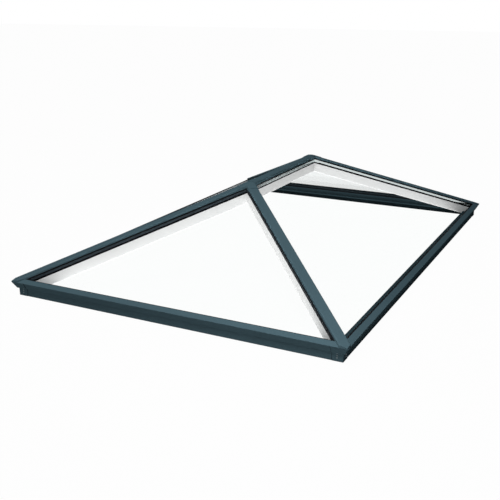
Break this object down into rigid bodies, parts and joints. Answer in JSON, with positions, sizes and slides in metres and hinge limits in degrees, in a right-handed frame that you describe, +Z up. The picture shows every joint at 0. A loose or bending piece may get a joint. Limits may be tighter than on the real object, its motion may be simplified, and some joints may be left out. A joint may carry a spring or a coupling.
{
  "type": "roof lantern",
  "caption": "Rectangular hipped roof lantern: sloping sealed glass units on a metal eaves frame with an overhanging nose, hip bars and a short ridge",
  "frame": {"origin": "middle of the base rectangle, on the level surface the eaves frame stands on", "axes": "X along the ridge and the long sides, Y across the ridge, Z up"},
  "size_m": [3.0634, 2.0634, 0.5736],
  "materials": {
    "outer_metal": "matte anthracite grey powder coat",
    "inner_bars": "satin white powder coat",
    "glass": "clear double glazing",
    "spacer": "satin metal spacer bar",
    "gasket": "matte black rubber"
  },
  "bodies": {
    "root": {"corner_cover_back_left": "outer_metal", "corner_cover_back_right": "outer_metal", "corner_cover_front_left": "outer_metal", "corner_cover_front_right": "outer_metal", "eaves_beam_back": "outer_metal", "eaves_beam_front": "outer_metal", "eaves_beam_left": "outer_metal", "eaves_beam_right": "outer_metal", "eaves_cap_back": "outer_metal", "eaves_cap_front": "outer_metal", "eaves_cap_left": "outer_metal", "eaves_cap_right": "outer_metal", "hip_cap_back_left": "outer_metal", "hip_cap_back_right": "outer_metal", "hip_cap_front_left": "outer_metal", "hip_cap_front_right": "outer_metal", "hip_rafter_back_left": "inner_bars", "hip_rafter_back_right": "inner_bars", "hip_rafter_front_left": "inner_bars", "hip_rafter_front_right": "inner_bars", "inner_gasket_back": "gasket", "inner_gasket_front": "gasket", "inner_gasket_left": "gasket", "inner_gasket_right": "gasket", "inner_glass_back": "glass", "inner_glass_front": "glass", "inner_glass_left": "glass", "inner_glass_right": "glass", "outer_gasket_back": "gasket", "outer_gasket_front": "gasket", "outer_gasket_left": "gasket", "outer_gasket_right": "gasket", "outer_glass_back": "glass", "outer_glass_front": "glass", "outer_glass_left": "glass", "outer_glass_right": "glass", "ridge_beam": "inner_bars", "ridge_cap": "outer_metal", "ridge_end_cover_left": "outer_metal", "ridge_end_cover_right": "outer_metal", "spacer_frame_back": "spacer", "spacer_frame_front": "spacer", "spacer_frame_left": "spacer", "spacer_frame_right": "spacer"}
  },
  "joints": []
}
